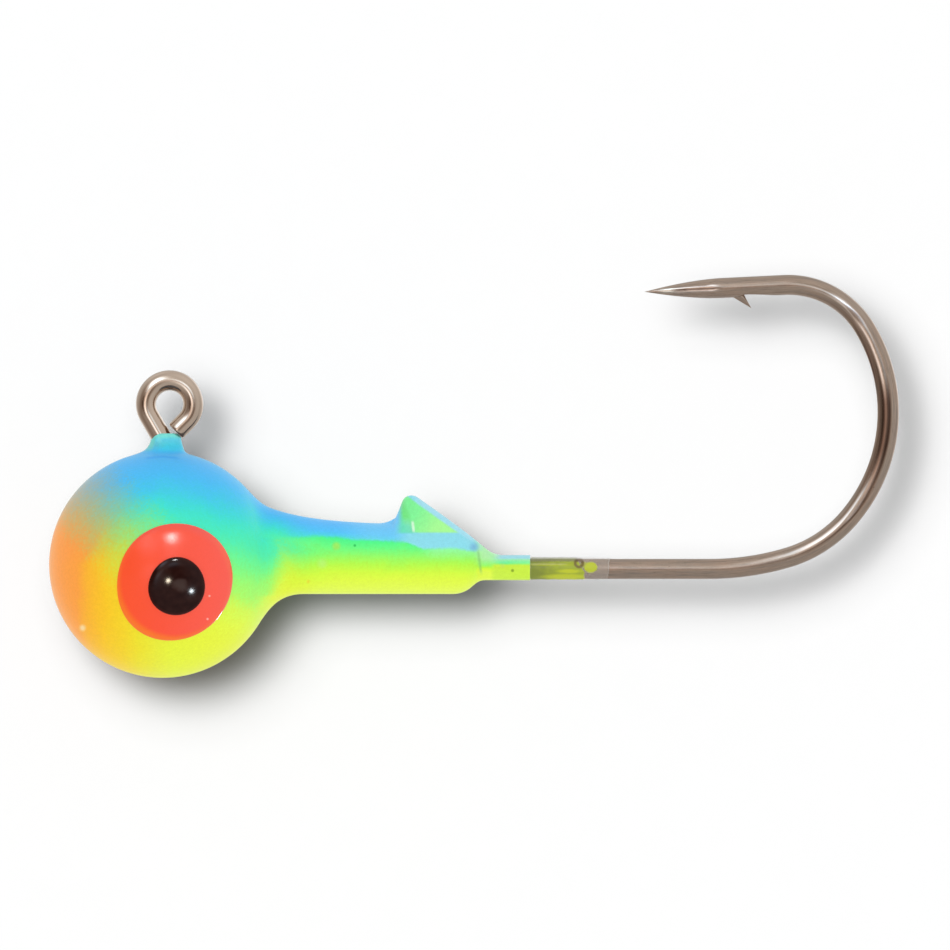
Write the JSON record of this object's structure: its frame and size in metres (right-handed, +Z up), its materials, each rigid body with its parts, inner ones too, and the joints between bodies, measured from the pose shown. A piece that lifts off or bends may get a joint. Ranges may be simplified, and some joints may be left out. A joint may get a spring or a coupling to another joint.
{
  "type": "jig head",
  "caption": "Round-headed lead fishing jig on a jig hook with an upright line tie, a ramped bait keeper on its collar, sprayed paint and painted eyes.",
  "frame": {"origin": "middle of the whole jig's box, in the hook's plane of symmetry", "axes": "+X along the shank from the head to the hook's bend, +Z up to the line tie and the hook's point, Y across the hook's plane, -Y the jig's left side"},
  "size_m": [0.0382, 0.0108, 0.0182],
  "materials": {
    "hook_steel": "bronze-nickel plated, drawn grain",
    "cast_lead": "dull as cast",
    "spray_paint": "satin, sprayed in fading bands of blue, green, yellow and orange",
    "clear_film": "thin glossy clear coat, tinted by yellow overspray",
    "iris_paint": "glossy red-orange enamel drop",
    "pupil_paint": "glossy black enamel drop"
  },
  "bodies": {
    "root": {"hook": "hook_steel", "lead_head": "cast_lead", "paint_coat": "spray_paint", "clear_coat_runout": "clear_film", "eye_iris_left": "iris_paint", "eye_iris_right": "iris_paint", "eye_pupil_left": "pupil_paint", "eye_pupil_right": "pupil_paint"}
  },
  "joints": []
}
